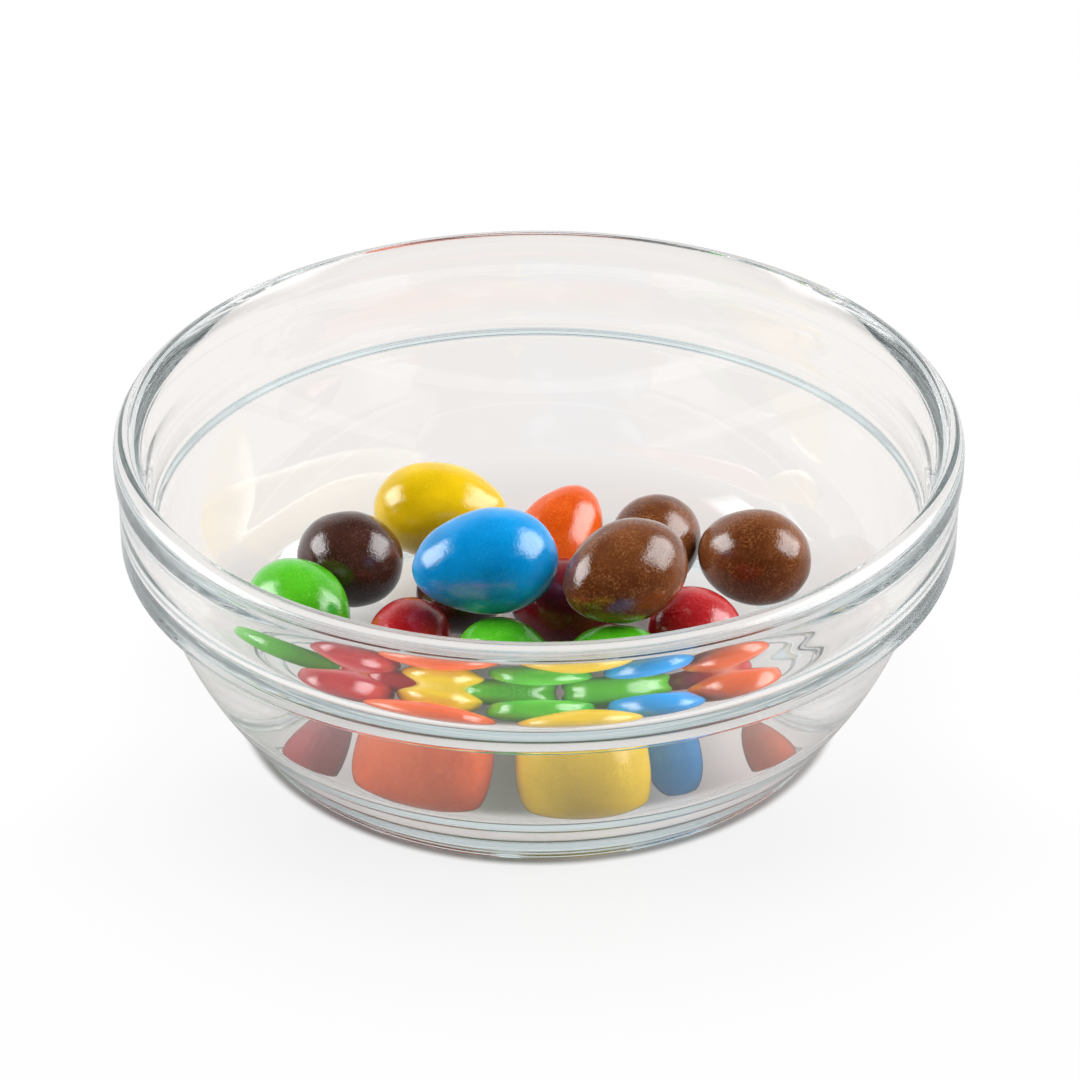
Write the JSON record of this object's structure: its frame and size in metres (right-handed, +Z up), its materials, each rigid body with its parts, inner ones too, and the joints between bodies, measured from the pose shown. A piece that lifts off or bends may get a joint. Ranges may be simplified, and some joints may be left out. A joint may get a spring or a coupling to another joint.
{
  "type": "candy bowl",
  "caption": "Round clear-glass stacking bowl with a thick collar and a foot ring, holding a heap of loose sugar-shelled chocolate nuts that lift out.",
  "frame": {"origin": "middle of the foot ring, on the surface that the bowl stands on", "axes": "+Z up along the bowl's axis, -Y towards the side that the picture is taken from, +X right"},
  "size_m": [0.12, 0.12, 0.0454],
  "materials": {
    "clear_glass": "fire-polished clear glass, faint grey-green at the edges",
    "yellow_shell": "polished sugar shell with fine specks",
    "blue_shell": "polished sugar shell with fine specks",
    "orange_shell": "polished sugar shell with fine specks",
    "green_shell": "polished sugar shell with fine specks",
    "red_shell": "polished sugar shell with fine specks",
    "maroon_shell": "polished sugar shell with fine specks",
    "brown_shell": "polished sugar shell with fine specks",
    "dark_brown_shell": "polished sugar shell with fine specks"
  },
  "bodies": {
    "bowl": {"glass_bowl": "clear_glass", "candy_red_left": "red_shell", "candy_green_middle": "green_shell", "candy_green_right": "green_shell", "candy_red_right": "red_shell", "candy_brown_under": "dark_brown_shell", "candy_maroon_middle": "maroon_shell"},
    "blue_top_nut": {"candy_blue_top": "blue_shell"},
    "brown_top_nut": {"candy_brown_top": "brown_shell"},
    "yellow_back_nut": {"candy_yellow_back": "yellow_shell"},
    "orange_back_nut": {"candy_orange_back": "orange_shell"},
    "brown_back_nut": {"candy_brown_back": "brown_shell"},
    "brown_right_nut": {"candy_brown_right": "brown_shell"},
    "brown_left_nut": {"candy_brown_left": "dark_brown_shell"},
    "green_left_nut": {"candy_green_left": "green_shell"},
    "red_front_nut": {"candy_red_front": "red_shell"},
    "orange_front_nut": {"candy_orange_front": "orange_shell"},
    "yellow_front_nut": {"candy_yellow_front": "yellow_shell"},
    "blue_front_nut": {"candy_blue_front": "blue_shell"},
    "orange_right_nut": {"candy_orange_right": "orange_shell"},
    "green_front_nut": {"candy_green_front": "green_shell"},
    "yellow_middle_nut": {"candy_yellow_middle": "yellow_shell"}
  },
  "joints": [
    {"name": "lift_blue_top", "type": "slide", "parent": "bowl", "child": "blue_top_nut", "axis": [0, 0, 1], "range_m": [0, 0.05]},
    {"name": "lift_brown_top", "type": "slide", "parent": "bowl", "child": "brown_top_nut", "axis": [0, 0, 1], "range_m": [0, 0.05]},
    {"name": "lift_yellow_back", "type": "slide", "parent": "bowl", "child": "yellow_back_nut", "axis": [0, 0, 1], "range_m": [0, 0.05]},
    {"name": "lift_orange_back", "type": "slide", "parent": "bowl", "child": "orange_back_nut", "axis": [0, 0, 1], "range_m": [0, 0.05]},
    {"name": "lift_brown_back", "type": "slide", "parent": "bowl", "child": "brown_back_nut", "axis": [0, 0, 1], "range_m": [0, 0.05]},
    {"name": "lift_brown_right", "type": "slide", "parent": "bowl", "child": "brown_right_nut", "axis": [0, 0, 1], "range_m": [0, 0.05]},
    {"name": "lift_brown_left", "type": "slide", "parent": "bowl", "child": "brown_left_nut", "axis": [0, 0, 1], "range_m": [0, 0.05]},
    {"name": "lift_green_left", "type": "slide", "parent": "bowl", "child": "green_left_nut", "axis": [0, 0, 1], "range_m": [0, 0.05]},
    {"name": "lift_red_front", "type": "slide", "parent": "bowl", "child": "red_front_nut", "axis": [0, 0, 1], "range_m": [0, 0.05]},
    {"name": "lift_orange_front", "type": "slide", "parent": "bowl", "child": "orange_front_nut", "axis": [0, 0, 1], "range_m": [0, 0.05]},
    {"name": "lift_yellow_front", "type": "slide", "parent": "bowl", "child": "yellow_front_nut", "axis": [0, 0, 1], "range_m": [0, 0.05]},
    {"name": "lift_blue_front", "type": "slide", "parent": "bowl", "child": "blue_front_nut", "axis": [0, 0, 1], "range_m": [0, 0.05]},
    {"name": "lift_orange_right", "type": "slide", "parent": "bowl", "child": "orange_right_nut", "axis": [0, 0, 1], "range_m": [0, 0.05]},
    {"name": "lift_green_front", "type": "slide", "parent": "bowl", "child": "green_front_nut", "axis": [0, 0, 1], "range_m": [0, 0.05]},
    {"name": "lift_yellow_middle", "type": "slide", "parent": "bowl", "child": "yellow_middle_nut", "axis": [0, 0, 1], "range_m": [0, 0.05]}
  ]
}
